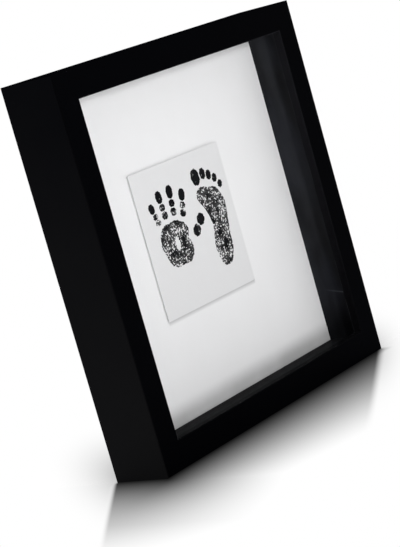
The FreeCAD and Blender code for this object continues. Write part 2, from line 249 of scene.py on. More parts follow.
def black_lacquer():
    """Satin black lacquer: faint orange peel, hairline mitres, rubbed arrises partly painted as highlight.

    The lip's inner face is painted lighter, as lit, paler towards the top, with a painted highlight
    line where it meets the glass. The side faces are painted a little paler downwards, as lit, and
    the top face has no shine.
    """
    mitre_line, arris_width, skin, highlight_line_width = 0.2 * MM, 1.1 * MM, 0.2 * MM, 0.5 * MM
    material, tree, shader = new_finish("black_lacquer", (0.0008, 0.0008, 0.001), 0.42, specular=0.003)
    place = place_on_piece(tree)
    x, y, z = parts_of(tree, place)
    across = absolute(tree, x)
    upward = absolute(tree, difference(tree, z, middle_height))
    from_mitre = absolute(tree, difference(tree, across, upward))
    mitre = spread(tree, from_mitre, 0.4 * mitre_line, mitre_line, 1, 0, True)
    to_side = difference(tree, half_width, larger(tree, across, upward))
    to_front = total(tree, y, half_depth)
    arris = product(tree, spread(tree, to_side, 0.0, arris_width, 1, 0, True),
                    spread(tree, to_front, 0.0, arris_width, 1, 0, True))
    # wear on the arrises, also a painted highlight: paler colour and less shine along them
    arris_wear_and_highlight = product(tree, arris, spread(tree, grain(tree, place, 220, 4), 0.35, 0.65, 0.35, 1))
    cloudy = grain(tree, place, 14, 2)
    base = tint(tree, cloudy, (0.0006, 0.0006, 0.0009), (0.0011, 0.0012, 0.0018))
    base = tint(tree, arris_wear_and_highlight, base, (0.0012, 0.0012, 0.0014))
    base = tint(tree, mitre, base, (0.0004, 0.0004, 0.0004))
    lip = spread(tree, to_side, face_width - 0.7 * MM, face_width - 0.4 * MM, 0, 1)
    # painted light: the lip's inner faces paler, more so towards the top
    painted_lip_light = tint(tree, spread(tree, z, 30 * MM, 200 * MM, 0, 1), (0.0025, 0.0025, 0.003),
                    (0.0085, 0.0085, 0.01))
    base = tint(tree, lip, base, painted_lip_light)
    # painted highlight: a pale line on the lip where it meets the glass
    to_glass = absolute(tree, difference(tree, y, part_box("glass_pane")[0].y))
    dust_and_painted_highlight = product(tree, lip, spread(tree, to_glass, 0.4 * highlight_line_width, highlight_line_width, 1, 0),
                   spread(tree, grain(tree, place, 60, 3), 0.4, 0.6, 0.1, 0.7))
    base = tint(tree, dust_and_painted_highlight, base, (0.03, 0.03, 0.033))
    # painted light: the outer side faces paler, more so downwards
    painted_side_light = product(tree, spread(tree, across, half_width - 4 * skin, half_width - skin, 0, 1),
                    spread(tree, z, 220 * MM, 30 * MM, 0, 1))
    base = tint(tree, painted_side_light, base, (0.0038, 0.0038, 0.0041))
    link(tree, base, shader, "Base Color")
    link(tree, spread(tree, cloudy, 0.3, 0.7, 0.38, 0.48), shader, "Roughness")
    below_top = spread(tree, z, full_height - 3 * skin, full_height - skin, 1, 0)
    shine = product(tree, spread(tree, arris_wear_and_highlight, 0, 1, 0.003, 0.0008), below_top)
    link(tree, shine, shader, "Specular IOR Level")
    peel = product(tree, grain(tree, place, 620, 2), 0.25)
    raised(tree, shader, difference(tree, peel, mitre), 0.06 * MM, 0.6)
    return material


def black_spacer():
    """Black painted board: a cloudy coat with long brush marks, duller and darkened by painted shade at its foot.
    """
    shade_full_height, shade_end_height = 26 * MM, 48 * MM
    material, tree, shader = new_finish("black_spacer", (0.003, 0.003, 0.0035), 0.5, specular=0.1)
    place = place_on_piece(tree)
    height = parts_of(tree, place)[2]
    brushed = grain(tree, stretched(tree, place, (160, 1400, 160)), 1.0, 3)
    cloudy = spread(tree, grain(tree, stretched(tree, place, (60, 60, 22)), 1.0, 3), 0.35, 0.65, 0, 1)
    coat = tint(tree, cloudy, (0.001, 0.0011, 0.0018), (0.0062, 0.0068, 0.0098))
    # painted shade: the coat darkens towards its foot
    coat = tint(tree, spread(tree, height, shade_full_height, shade_end_height, 0.8, 0), coat, (0.0006, 0.0006, 0.0008))
    link(tree, coat, shader, "Base Color")
    link(tree, spread(tree, brushed, 0.3, 0.7, 0.42, 0.58), shader, "Roughness")
    link(tree, spread(tree, height, 20 * MM, 90 * MM, 0.012, 0.1), shader, "Specular IOR Level")
    raised(tree, shader, brushed, 0.05 * MM, 0.35)
    return material


def clear_glass():
    """Clear glass: light goes straight through. Its outer faces glow with a faint pale painted sheen.

    The sheen is a painted reflection, emitted as the Fresnel share of an even white room, varied by
    smears, and painted weaker near the foot and beside the right lip. Low at the right a painted
    hairline glint follows a straight line, whose height falls by its slope times x, and it is
    brighter to the right.
    """
    glint_slope, glint_height, glint_width = 0.375, 87.9 * MM, 0.8 * MM
    glint_start, glint_end = 86 * MM, 108.5 * MM
    material = bpy.data.materials.new("clear_glass")
    material.use_nodes = True
    tree = material.node_tree
    tree.nodes.clear()
    see_through = put(tree, "ShaderNodeBsdfTransparent", {0: (0.985, 0.985, 0.985, 1)})
    place = place_on_piece(tree)
    x, _, height = parts_of(tree, place)
    bump = put(tree, "ShaderNodeBump", {"Height": grain(tree, place, 9, 1), "Distance": 0.4 * MM,
                                        "Strength": 0.1})
    fresnel = put(tree, "ShaderNodeFresnel", {"IOR": 1.5, "Normal": bump.outputs[0]}).outputs[0]
    outside = rest_of(tree, put(tree, "ShaderNodeNewGeometry").outputs["Backfacing"])
    streaks = grain(tree, stretched(tree, place, (60, 60, 24)), 1.0, 3)
    # painted reflection: the sheen's strength, by smears, and weaker near the foot and the right lip
    painted_sheen_smeared = product(tree, spread(tree, streaks, 0.35, 0.65, 0.06, 0.18),
                     spread(tree, height, 26 * MM, 48 * MM, 0.33, 1),
                     spread(tree, x, 94.5 * MM, 98.5 * MM, 1, 0.1))
    drop = difference(tree, total(tree, height, product(tree, x, glint_slope)), glint_height)
    glint = product(tree, spread(tree, absolute(tree, drop), 0.1 * MM, glint_width, 1, 0),
                    spread(tree, x, glint_start, glint_end, 0.007, 0.026),
                    spread(tree, x, glint_start, glint_start + 6 * MM, 0, 1))
    share = product(tree, total(tree, product(tree, fresnel, painted_sheen_smeared), glint), outside)
    # the sheen and the glint are painted light that the glass emits
    sheen = put(tree, "ShaderNodeEmission", {0: (0.84, 0.89, 1, 1), 1: share})
    both = put(tree, "ShaderNodeAddShader", {0: see_through.outputs[0], 1: sheen.outputs[0]})
    put(tree, "ShaderNodeOutputMaterial", {0: both.outputs[0]})
    return material


def white_mount():
    """Smooth white mount board with a fine tooth.

    A painted shade greys it in a soft strip along its foot. A painted shadow darkens a band below the
    raised card and one to its right, because such soft lamps leave no shadow behind so thin a card.
    """
    material, tree, shader = new_finish("white_mount", (0.86, 0.86, 0.87), 0.85, specular=0.2)
    place = place_on_piece(tree)
    x, _, z = parts_of(tree, place)
    tooth = grain(tree, place, 1500, 4, 0.6)
    white = tint(tree, grain(tree, place, 18, 2), (0.85, 0.85, 0.86), (0.875, 0.875, 0.88))
    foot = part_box("spacer_bottom")[1].z
    # painted shade along the foot
    painted_foot_shade = product(tree, spread(tree, z, foot + 3 * MM, foot + 16 * MM, 0.68, 0, True),
                     spread(tree, grain(tree, place, 30, 2), 0.3, 0.7, 0.72, 1.0))
    white = tint(tree, painted_foot_shade, white, (0.3, 0.3, 0.3))
    low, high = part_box("print_card")
    past_side, past_foot = difference(tree, x, high.x), difference(tree, low.z, z)
    # painted shadow below the card and to its right
    under = product(tree, band(tree, past_foot, 3.3 * MM, 0.62),
                    spread(tree, past_side, 2.6 * MM, 3.6 * MM, 1, 0),
                    spread(tree, x, low.x + 1 * MM, low.x + 2.4 * MM, 0, 1))
    beside = product(tree, band(tree, past_side, 4.4 * MM, 0.42),
                     spread(tree, past_foot, 0.0, 1 * MM, 1, 0),
                     spread(tree, z, high.z - 1 * MM, high.z, 1, 0))
    white = tint(tree, larger(tree, under, beside), white, (0.2, 0.2, 0.2))
    link(tree, white, shader, "Base Color")
    link(tree, spread(tree, tooth, 0.3, 0.7, 0.78, 0.92), shader, "Roughness")
    raised(tree, shader, tooth, 0.03 * MM, 0.25)
    return material


def white_foam():
    """Cut foam board: a faint cell pattern between two paper faces."""
    material, tree, shader = new_finish("white_foam", (0.94, 0.94, 0.94), 0.8, specular=0.2)
    place = place_on_piece(tree)
    cells = put(tree, "ShaderNodeTexVoronoi", {"Vector": place, "Scale": 2200}).outputs[0]
    link(tree, tint(tree, cells, (0.97, 0.97, 0.97), (0.9, 0.9, 0.9)), shader, "Base Color")
    raised(tree, shader, cells, 0.05 * MM, 0.4)
    return material


def paper_colour(tree, place):
    """The card's colour: pale grey with soft fibres."""
    fibres = grain(tree, stretched(tree, place, (500, 500, 1500)), 1.0, 4, 0.6)
    return tint(tree, fibres, (0.735, 0.735, 0.745), (0.775, 0.775, 0.78)), fibres


def print_paper():
    """Pale grey uncoated card."""
    material, tree, shader = new_finish("print_paper", (0.76, 0.76, 0.765), 0.8, specular=0.2)
    place = place_on_piece(tree)
    colour, fibres = paper_colour(tree, place)
    link(tree, colour, shader, "Base Color")
    link(tree, spread(tree, fibres, 0.3, 0.7, 0.74, 0.88), shader, "Roughness")
    raised(tree, shader, fibres, 0.03 * MM, 0.3)
    return material


def black_ink():
    """Black ink pressed from skin: solid where it was pressed hard, and specked, lined with
    skin ridges and worn through to the card where it was not.

    A fine grain is cut at a level that follows how hard each pad was pressed and a slow grain,
    so that specks gather in the lightly pressed patches. The ridges are bands, curled by a slow
    grain.
    """
    material, tree, shader = new_finish("black_ink", (0.001, 0.001, 0.001), 0.55, specular=0.02)
    place = place_on_piece(tree)
    paper, _ = paper_colour(tree, place)
    pressed = put(tree, "ShaderNodeAttribute", attribute_name="pressed").outputs["Fac"]
    patchy = spread(tree, grain(tree, place, 150, 2), 0.3, 0.7, -0.38, 0.38)
    light = spread(tree, difference(tree, patchy, pressed), -1.0, 0.0, 0.0, 1.0)
    level = spread(tree, light, 0, 1, 0.74, 0.48)
    bare = spread(tree, difference(tree, grain(tree, place, 720, 2, 0.45), level), 0.0, 0.01, 0, 1)
    warp = grain(tree, place, 90, 2)
    shift = put(tree, "ShaderNodeCombineXYZ", {0: product(tree, warp, 4 * MM),
                                               2: product(tree, warp, -6 * MM)}).outputs[0]
    curl = put(tree, "ShaderNodeVectorMath", {0: place, 1: shift}, operation="ADD").outputs[0]
    ridges = put(tree, "ShaderNodeTexWave",
                 {"Vector": curl, "Scale": 480.0, "Distortion": 1.5, "Detail": 2.0, "Detail Scale": 1.5},
                 wave_type="BANDS", bands_direction="Z").outputs[1]
    lines = product(tree, spread(tree, ridges, 0.2, 0.08, 0, 0.35), spread(tree, light, 0.35, 0.75, 0, 1))
    bare = larger(tree, bare, lines)
    link(tree, tint(tree, bare, (0.0008, 0.0008, 0.001), paper), shader, "Base Color")
    link(tree, spread(tree, bare, 0, 1, 0.5, 0.82), shader, "Roughness")
    raised(tree, shader, rest_of(tree, bare), 0.04 * MM, 0.4)
    return material


def brown_card():
    """Brown packing card with faint flutes and flecks."""
    material, tree, shader = new_finish("brown_card", (0.42, 0.28, 0.16), 0.85, specular=0.2)
    place = place_on_piece(tree)
    fleck = grain(tree, place, 700, 4, 0.6)
    flutes = put(tree, "ShaderNodeTexWave", {"Vector": place, "Scale": 40.0, "Distortion": 0.4},
                 wave_type="BANDS", bands_direction="X").outputs[1]
    link(tree, tint(tree, fleck, (0.36, 0.23, 0.13), (0.48, 0.33, 0.2)), shader, "Base Color")
    raised(tree, shader, flutes, 0.2 * MM, 0.3)
    return material


def brown_hardboard():
    """Smooth brown hardboard: dark and pale fibres pressed flat, with a slight wax shine."""
    material, tree, shader = new_finish("brown_hardboard", (0.27, 0.15, 0.08), 0.5, specular=0.35)
    place = place_on_piece(tree)
    fibre = grain(tree, place, 950, 6, 0.7)
    cross = grain(tree, stretched(tree, place, (500, 500, 260), (0, 0.7, 0)), 1.0, 5, 0.65)
    cloudy = grain(tree, place, 16, 3)
    mixed = product(tree, total(tree, fibre, cross), 0.5)
    base = tint(tree, spread(tree, mixed, 0.36, 0.64, 0, 1), (0.1, 0.05, 0.024), (0.27, 0.155, 0.082))
    base = tint(tree, spread(tree, cloudy, 0.35, 0.65, 0, 0.35), base, (0.2, 0.11, 0.058))
    link(tree, base, shader, "Base Color")
    link(tree, spread(tree, mixed, 0.3, 0.7, 0.42, 0.62), shader, "Roughness")
    raised(tree, shader, mixed, 0.06 * MM, 0.4)
    return material


def plated_metal(name, colour, roughness, scratch, blotch):
    """Plated steel: fine scratches along one way, and soft blotches in its shine."""
    material, tree, shader = new_finish(name, colour, roughness, metallic=1.0)
    place = place_on_piece(tree)
    scratches = grain(tree, stretched(tree, place, scratch), 1.0, 3)
    cloudy = grain(tree, place, blotch, 3)
    dull = tuple(part * 0.78 for part in colour)
    link(tree, tint(tree, cloudy, dull, colour), shader, "Base Color")
    mixed = product(tree, total(tree, scratches, cloudy), 0.5)
    link(tree, spread(tree, mixed, 0.35, 0.65, roughness - 0.08, roughness + 0.14), shader, "Roughness")
    raised(tree, shader, scratches, 0.02 * MM, 0.3)
    return material


def bumper_rubber():
    """Soft black rubber with a dusty bloom."""
    material, tree, shader = new_finish("bumper_rubber", (0.02, 0.02, 0.021), 0.7, specular=0.3)
    place = place_on_piece(tree)
    dust_and_painted_highlight = grain(tree, place, 900, 4, 0.6)
    link(tree, tint(tree, dust_and_painted_highlight, (0.014, 0.014, 0.015), (0.034, 0.034, 0.036)), shader, "Base Color")
    link(tree, spread(tree, dust_and_painted_highlight, 0.3, 0.7, 0.62, 0.8), shader, "Roughness")
    raised(tree, shader, dust_and_painted_highlight, 0.03 * MM, 0.4)
    return material


finishes = {
    "black_lacquer": black_lacquer(),
    "black_spacer": black_spacer(),
    "clear_glass": clear_glass(),
    "white_mount": white_mount(),
    "white_foam": white_foam(),
    "print_paper": print_paper(),
    "black_ink": black_ink(),
    "brown_card": brown_card(),
    "brown_hardboard": brown_hardboard(),
    "bare_steel": plated_metal("bare_steel", (0.26, 0.26, 0.27), 0.42, (300, 1600, 300), 180),
    "plated_strap": plated_metal("plated_strap", (0.36, 0.36, 0.37), 0.34, (1600, 300, 260), 240),
    "plated_wire": plated_metal("plated_wire", (0.42, 0.42, 0.43), 0.2, (700, 700, 300), 300),
    "plated_screws": plated_metal("plated_screws", (0.33, 0.33, 0.34), 0.3, (900, 900, 900), 400),
    "bumper_rubber": bumper_rubber(),
}

slot_of = {part["node"]: part["material_slot"] for part in frame["record"]["subparts"]}
for name, node in nodes.items():
    node.data.materials.clear()
    node.data.materials.append(finishes[slot_of[name]])


def dress(piece, slot, body, *replaced):
    """Gives a new piece its finish, its body and the nodes that it stands for."""
    piece.data.materials.clear()
    piece.data.materials.append(finishes[slot])
    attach(piece, body)
    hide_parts(*replaced)


# The inked prints

card_low, card_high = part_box("print_card")
card_middle = (card_low + card_high) / 2
card_face = card_low.y
ink_thickness = card_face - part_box("ink_handprint")[0].y


def rough_edge(points, seed, amount):
    """Moves an outline in and out by a few small waves, so that its edge looks inked by skin."""
    turn = np.linspace(0, 2 * math.pi, len(points), endpoint=False)
    draw = np.random.default_rng(seed)
    counts = np.array([7, 11, 17, 23, 31, 43])
    shares = amount * draw.uniform(0.3, 1.0, len(counts)) / np.sqrt(counts / counts[0])
    starts = draw.uniform(0, 2 * math.pi, len(counts))
    wave = (shares[:, None] * np.sin(counts[:, None] * turn[None, :] + starts[:, None])).sum(axis=0)
    middle = points.mean(axis=0)
    ray = points - middle
    return middle + ray * (1 + wave / np.linalg.norm(ray, axis=1))[:, None]


def smooth_loop(shares, size, count):
    """A closed curve through points: periodic cubic steps, each blending four neighbours."""
    points = np.asarray(shares) * np.asarray(size)
    step = np.linspace(0, len(points), count, endpoint=False)
    start = step.astype(int)
    t = (step - start)[:, None]
    before, here, there, after = (points[(start + k) % len(points)] for k in (-1, 0, 1, 2))
    return 0.5 * (2 * here + (there - before) * t + (2 * before - 5 * here + 4 * there - after) * t ** 2
                  + (3 * here - before - 3 * there + after) * t ** 3)


def oval(length, width, blunt, count):
    """A blunt oval: cosine and sine of the turn, each raised to a power below one."""
    turn = np.linspace(0, 2 * math.pi, count, endpoint=False)
    x = np.sign(np.cos(turn)) * np.abs(np.cos(turn)) ** blunt * width / 2
    z = np.sign(np.sin(turn)) * np.abs(np.sin(turn)) ** blunt * length / 2
    return np.stack([x, z], axis=-1)


def leaned(points, degrees, place):
    """Turns points clockwise and moves them to a place."""
    turn = math.radians(degrees)
    x = points[:, 0] * math.cos(turn) + points[:, 1] * math.sin(turn)
    z = points[:, 1] * math.cos(turn) - points[:, 0] * math.sin(turn)
    return np.stack([x, z], axis=-1) + np.asarray(place)


def ink_pad(name, outer, pressed, inner=None):
    """A film of ink between an outline and its middle, or an inner outline.

    Rows run from the inside of the face to the outline, over the edge and back along the card.
    Each point carries how hard its pad was pressed, from 0 to 1.
    """
    core = outer * 0.02 + outer.mean(axis=0) * 0.98 if inner is None else inner
    shares = np.array([0, 0.4, 0.75, 0.95, 1.0, 1.0, 0.6, 0])
    depth = np.array([1, 1, 1, 1, 0.55, 0, 0, 0]) * ink_thickness
    flat = core[None] + (outer - core)[None] * shares[:, None, None]
    points = np.stack([flat[..., 0], np.repeat((card_face - depth)[:, None], len(outer), axis=1),
                       flat[..., 1]], axis=-1)
    if inner is not None:
        edge = points[:1].copy()
        edge[..., 1] = card_face - 0.55 * ink_thickness
        points = np.concatenate([points, edge])
    pad = piece_from_grid(name, points, along_closed=inner is not None, smooth=False)
    held = pad.data.attributes.new("pressed", "FLOAT", "POINT")
    held.data.foreach_set("value", np.full(len(pad.data.vertices), pressed))
    return pad


palm_width, palm_height = 31 * MM, 29 * MM
finger_width, finger_length = 6.6 * MM, 20 * MM
foot_width, sole_height = 27 * MM, 55 * MM
toe_width, first_toe_lean, toe_fan = 8.6 * MM, -6, 8
crease_gap = 0.5 * MM
hollow_length, hollow_width = 9.5 * MM, 5 * MM
palm_wave, hollow_wave, finger_wave, toe_wave = 0.35 * MM, 0.45 * MM, 0.16 * MM, 0.2 * MM
palm_pressed, finger_pressed, toe_pressed = 0.4, (0.5, 0.65, 1.0), 0.9
hand_place = np.array([card_middle.x - 18 * MM, card_middle.z - 4 * MM])
foot_place = np.array([card_middle.x + 26.5 * MM, card_middle.z - 3.5 * MM])

# Outlines as shares of their width and height, from the heel round to the left and back
palm_shares = ((0.02, -0.50), (-0.30, -0.44), (-0.48, -0.12), (-0.50, 0.22), (-0.34, 0.44),
               (-0.05, 0.50), (0.26, 0.45), (0.44, 0.26), (0.40, 0.02), (0.46, -0.22), (0.34, -0.44))
sole_shares = ((0.02, -0.50), (-0.24, -0.42), (-0.29, -0.20), (-0.19, 0.02), (-0.30, 0.22),
               (-0.50, 0.38), (-0.34, 0.49), (0.02, 0.47), (0.36, 0.40), (0.50, 0.22),
               (0.42, -0.02), (0.36, -0.26), (0.26, -0.43))
# Each finger's root as shares of the palm, lean in degrees, length and width as shares
finger_shares = ((-0.40, 0.52, -17, 0.78, 0.86), (-0.15, 0.60, -6, 0.95, 0.97),
                 (0.13, 0.60, 5, 1.00, 1.00), (0.40, 0.50, 17, 0.92, 0.98),
                 (0.62, 0.00, 48, 0.84, 1.16))
# Each pad's length and width as shares of the finger's, from its root
finger_pad_shares = ((0.28, 0.90), (0.26, 0.86), (0.46, 0.98))
thumb_pad_shares = ((0.51, 0.95), (0.49, 0.98))
# Each toe's place as shares of the foot, and its width and height as shares of a toe
toe_shares = ((-0.36, 0.63, 1.00, 1.30), (-0.06, 0.64, 0.68, 0.86), (0.16, 0.60, 0.62, 0.76),
              (0.35, 0.54, 0.58, 0.68), (0.50, 0.45, 0.54, 0.60))


def finger_pads(number, row):
    """The pads of one finger from its root: two short ones and a longer tip, parted by creases."""
    root_x, root_z, lean, length_share, width_share = row
    root = np.array([root_x * palm_width, root_z * palm_height])
    shares = finger_pad_shares if number < len(finger_shares) - 1 else thumb_pad_shares
    inked = finger_length * length_share - crease_gap * (len(shares) - 1)
    pads, start = [], 0.0
    for step, (long_share, wide_share) in enumerate(shares):
        length = inked * long_share
        pad = oval(length, finger_width * width_share * wide_share, 0.85, 72)
        pad = leaned(pad + np.array([0, start + length / 2]), lean, root)
        pads.append(rough_edge(pad, 10 * number + step, finger_wave))
        start += length + crease_gap
    return pads


def started_right(outline, ahead=20):
    """Starts an outline straight right of its origin, and runs it anticlockwise, as an oval does."""
    outline = np.roll(outline, -np.argmin(np.abs(np.arctan2(outline[:, 1], outline[:, 0]))), axis=0)
    turning = outline[0, 0] * outline[ahead, 1] - outline[0, 1] * outline[ahead, 0]
    return outline if turning >= 0 else np.roll(outline[::-1], 1, axis=0)


palm = rough_edge(smooth_loop(palm_shares, (palm_width, palm_height), 220), 90, palm_wave)
hollow = rough_edge(oval(hollow_length, hollow_width, 1.0, 220), 91, hollow_wave)
hand_pads = [ink_pad("palm", started_right(palm) + hand_place, palm_pressed, hollow + hand_place)]
for number, row in enumerate(finger_shares):
    pads = finger_pads(number, row)
    for pad, pressed in zip(pads, finger_pressed[-len(pads):]):
        hand_pads.append(ink_pad("finger_pad", pad + hand_place, pressed))
dress(joined("hand_print", hand_pads), "black_ink", "frame", "ink_handprint")

sole = rough_edge(smooth_loop(sole_shares, (foot_width, sole_height), 260), 95, palm_wave)
foot_pads = [ink_pad("sole", sole + foot_place, palm_pressed)]
for number, (x, z, wide, tall) in enumerate(toe_shares):
    toe = oval(toe_width * tall, toe_width * wide, 0.9, 90)
    toe = leaned(toe, first_toe_lean + toe_fan * number, (x * foot_width, z * sole_height))
    toe = rough_edge(toe, 100 + number, toe_wave)
    foot_pads.append(ink_pad("toe_pad", toe + foot_place, toe_pressed))
dress(joined("foot_print", foot_pads), "black_ink", "frame", "ink_footprint")


# Hanging rings

wire_radius = 0.8 * MM
ring_half = 4.2 * MM
ring_corner = 1.2 * MM
ring_leg = 4.0 * MM


def ring_path(count):
    """The middle of a D ring's wire: a bar, a corner, a leg, half a circle, a leg and a corner.

    Points lie at even lengths along it, each with the way across the wire in its plane.
    """
    bar = ring_half - ring_corner
    runs = [2 * bar, ring_corner * math.pi / 2, ring_leg, ring_half * math.pi, ring_leg,
            ring_corner * math.pi / 2]
    starts = np.concatenate([[0], np.cumsum(runs)])
    along = np.linspace(0, starts[-1], count, endpoint=False)
    leg_end = -ring_corner - ring_leg
    places, ways = np.zeros((count, 2)), np.zeros((count, 2))
    lines = ((0, (-bar, 0), (1, 0), (0, 1)), (2, (ring_half, -ring_corner), (0, -1), (1, 0)),
             (4, (-ring_half, leg_end), (0, 1), (-1, 0)))
    for run, start, heading, way in lines:
        here = (along >= starts[run]) & (along < starts[run + 1])
        places[here] = np.array(start) + np.outer(along[here] - starts[run], heading)
        ways[here] = way
    bends = ((1, (bar, -ring_corner), ring_corner, 90), (3, (0, leg_end), ring_half, 0),
             (5, (-bar, -ring_corner), ring_corner, 180))
    for run, middle, radius, first in bends:
        here = (along >= starts[run]) & (along < starts[run + 1])
        turn = math.radians(first) - (along[here] - starts[run]) / radius
        ways[here] = np.stack([np.cos(turn), np.sin(turn)], axis=-1)
        places[here] = np.array(middle) + ways[here] * radius
    return places, ways


def hanging_ring(name, side, count=180, columns=20):
    """A round wire carried along the ring's path, leaned back until it rests on the strap."""
    places, ways = ring_path(count)
    turn = np.linspace(0, 2 * math.pi, columns, endpoint=False)
    out = wire_radius * np.cos(turn)
    x = places[:, None, 0] + ways[:, None, 0] * out
    z = places[:, None, 1] + ways[:, None, 1] * out
    y = np.repeat((wire_radius * np.sin(turn))[None, :], count, axis=0)
    joint = next(j for j in frame["joints"] if j["name"] == "swing_" + side)
    pivot = np.array(joint["pos_m"])
    low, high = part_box("hanger_ring_" + side)
    reach = ring_corner + ring_leg + ring_half
    lean = math.asin(((high.y - wire_radius) - pivot[1]) / reach)
    leaned_y = y * math.cos(lean) - z * math.sin(lean)
    leaned_z = y * math.sin(lean) + z * math.cos(lean)
    points = np.stack([x, leaned_y, leaned_z], axis=-1) + pivot
    ring = piece_from_grid(name, points[:, ::-1], along_closed=True)
    dress(ring, "plated_wire", "ring_" + side, "hanger_ring_" + side)


for side in ("left", "right"):
    hanging_ring("d_ring_" + side, side)


# Screws

head_radius, rim_height, head_height = 2.8 * MM, 0.55 * MM, 1.7 * MM
recess_long, recess_wide, recess_slope, recess_depth = 1.55 * MM, 0.36 * MM, 0.22 * MM, 0.9 * MM
screw_length, button_shank, strap_shank = 9 * MM, 1.5 * MM, 1.4 * MM
strap_screw_drop = 15.5 * MM


def screw(name, seat, radius, spin):
    """A pan head screw turned about Y: point, shank, seat, rim and crown, with a cross recess.

    The crown is a flattened dome: its height falls by the radius' share to the power 2.6. The recess
    goes down where a point lies inside either arm of the cross, and its walls slope.
    """
    crown = np.linspace(1.0, 0.03, 34)[1:]
    dome = rim_height + (head_height - rim_height) * (1 - crown ** 2.6)
    body = np.array([(0.02 * radius, -screw_length), (0.9 * radius, -screw_length + 1.4 * MM),
                     (radius, -screw_length + 2 * MM), (radius, 0), (0.97 * head_radius, 0),
                     (head_radius, 0.1 * MM), (head_radius, rim_height)])
    radii = np.concatenate([body[:, 0], crown * head_radius])
    heights = np.concatenate([body[:, 1], dome])
    rows = turned_rows(radii, heights, (0, 0, 0), 96)
    x, z = rows[..., 0].copy(), rows[..., 2].copy()
    arms = [np.clip((recess_long - np.abs(along)) / recess_slope, 0, 1)
            * np.clip((recess_wide - np.abs(aside)) / recess_slope + 0.5, 0, 1)
            for along, aside in ((x, z), (z, x))]
    on_crown = (np.arange(len(radii)) >= len(body))[:, None]
    rows[..., 1] -= np.where(on_crown, np.maximum(*arms) * recess_depth, 0)
    turn = math.radians(spin)
    rows[..., 0] = x * math.cos(turn) - z * math.sin(turn)
    rows[..., 2] = x * math.sin(turn) + z * math.cos(turn)
    return piece_from_grid(name, rows + np.asarray(seat))


def screw_seat(node):
    """Where the heads of a node's screws begin, below their crowns."""
    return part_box(node)[1].y - head_height


# Each screw is left at its own turn, in degrees, as a hand leaves them
button_screws = []
for number, joint in enumerate(j for j in frame["joints"] if j["name"].startswith("turn_")):
    x, _, z = joint["pos_m"]
    seat = (x, screw_seat("turn_button_screws"), z)
    button_screws.append(screw("button_screw", seat, button_shank, 17 + 37 * number))
dress(joined("turn_button_screw_set", button_screws), "plated_screws", "frame", "turn_button_screws")

strap_screws = []
for number, side in enumerate(("left", "right")):
    joint = next(j for j in frame["joints"] if j["name"] == "swing_" + side)
    x, _, z = joint["pos_m"]
    seat = (x, screw_seat("hanger_screws"), z - strap_screw_drop)
    strap_screws.append(screw("strap_screw", seat, strap_shank, 28 + 50 * number))
dress(joined("hanger_screw_set", strap_screws), "plated_screws", "frame", "hanger_screws")


# Bumpers

for side in ("left", "right"):
    low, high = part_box("wall_bumper_" + side)
    middle = (low + high) / 2
    radius, tall = (high.x - low.x) / 2, high.y - low.y
    edge_radius, crown_rise = 0.9 * MM, 0.12 * MM
    turn = np.linspace(0, math.pi / 2, 12)
    radii = np.concatenate([[0.05 * radius, 0.97 * radius, radius],
                            radius - edge_radius + edge_radius * np.cos(turn),
                            [0.5 * radius, 0.05 * radius]])
    heights = np.concatenate([[0, 0, 0.15 * MM],
                              tall - crown_rise - edge_radius + edge_radius * np.sin(turn),
                              [tall - 0.25 * crown_rise, tall]])
    bumper = piece_from_grid("bumper_" + side, turned_rows(radii, heights, (middle.x, low.y, middle.z), 64))
    dress(bumper, "bumper_rubber", "frame", "wall_bumper_" + side)


# Stage, light and camera

# The camera's own directions: back from the aim, and level across the picture before its roll
azimuth, elevation, roll = math.radians(-50.37), math.radians(8.35), math.radians(15.92)
back = Vector((math.sin(azimuth) * math.cos(elevation), -math.cos(azimuth) * math.cos(elevation),
               math.sin(elevation)))
level = Vector((math.cos(azimuth), math.sin(azimuth), 0))


def seen_ray(tree):
    """One for a ray that shows the surroundings: from the camera, off a gloss or through glass."""
    path = put(tree, "ShaderNodeLightPath").outputs
    return larger(tree, path["Is Camera Ray"], path["Is Glossy Ray"], path["Is Transmission Ray"])


def soft_spot(tree, x, y, centre, size, lean, depth, power):
    """A soft oval of shade on the floor beside one of the frame's lower corners.

    Across is the place along the camera's level and away the place along its view, both from the
    centre, and away is lessened by lean times across. Shade = depth times (1 - distance / size) to
    the given power.
    """
    across = total(tree, product(tree, x, level.x), product(tree, y, level.y))
    away = total(tree, product(tree, x, -level.y), product(tree, y, level.x))
    across = difference(tree, across, centre[0])
    away = difference(tree, difference(tree, away, centre[1]), product(tree, across, lean))
    squares = [powered(tree, quotient(tree, length, most), 2.0)
               for length, most in ((across, size[0]), (away, size[1]))]
    left = spread(tree, powered(tree, total(tree, *squares), 0.5), 0, 1, 1, 0)
    return product(tree, powered(tree, left, power), depth)


def floor_gap(tree, x, y):
    """How far a place on the floor is from the frame's foot."""
    squares = []
    for along, half in ((x, half_width), (y, half_depth)):
        past = larger(tree, difference(tree, absolute(tree, along), half), 0.0)
        squares.append(powered(tree, past, 2.0))
    return powered(tree, total(tree, *squares), 0.5)


